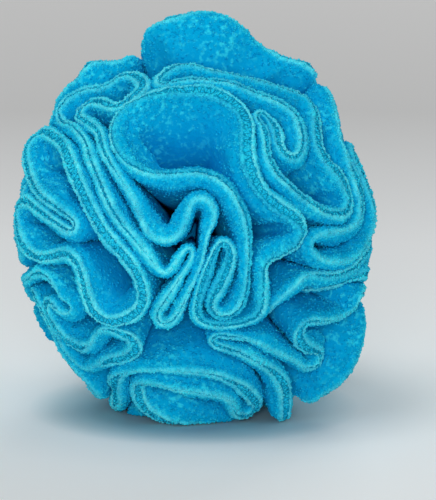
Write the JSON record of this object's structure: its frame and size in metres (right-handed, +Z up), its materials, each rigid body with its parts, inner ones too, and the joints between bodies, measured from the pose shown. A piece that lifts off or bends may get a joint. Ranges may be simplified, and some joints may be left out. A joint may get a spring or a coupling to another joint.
{
  "type": "plush snuffle ball",
  "caption": "Soft ball of gathered turquoise fleece folds in which dry treats are hidden for a pet to sniff out.",
  "frame": {"origin": "middle of the bounding box, on the floor that the ball rests on", "axes": "+Z up from the floor through the ball, -Y towards the viewer of the front folds"},
  "size_m": [0.149, 0.15, 0.1658],
  "materials": {
    "fleece_turquoise": "thick turquoise plush fleece with a napped, fuzzy pile",
    "thread_teal": "teal sewing thread",
    "core_cloth": "plain woven cloth",
    "fibre_filling": "white fibre filling"
  },
  "bodies": {
    "root": {"ruffle_01": "fleece_turquoise", "ruffle_02": "fleece_turquoise", "ruffle_03": "fleece_turquoise", "ruffle_04": "fleece_turquoise", "ruffle_05": "fleece_turquoise", "ruffle_06": "fleece_turquoise", "ruffle_07": "fleece_turquoise", "ruffle_08": "fleece_turquoise", "ruffle_09": "fleece_turquoise", "ruffle_10": "fleece_turquoise", "ruffle_11": "fleece_turquoise", "ruffle_12": "fleece_turquoise", "ruffle_13": "fleece_turquoise", "ruffle_14": "fleece_turquoise", "ruffle_15": "fleece_turquoise", "tack_knot_01": "thread_teal", "tack_knot_02": "thread_teal", "tack_knot_03": "thread_teal", "tack_knot_04": "thread_teal", "tack_knot_05": "thread_teal", "tack_knot_06": "thread_teal", "tack_knot_07": "thread_teal", "tack_knot_08": "thread_teal", "tack_knot_09": "thread_teal", "tack_knot_10": "thread_teal", "tack_knot_11": "thread_teal", "tack_knot_12": "thread_teal", "tack_knot_13": "thread_teal", "tack_knot_14": "thread_teal", "tack_knot_15": "thread_teal", "core_filling": "fibre_filling", "core_cover_upper": "core_cloth", "core_cover_lower": "core_cloth", "core_seam_thread": "thread_teal"}
  },
  "joints": []
}
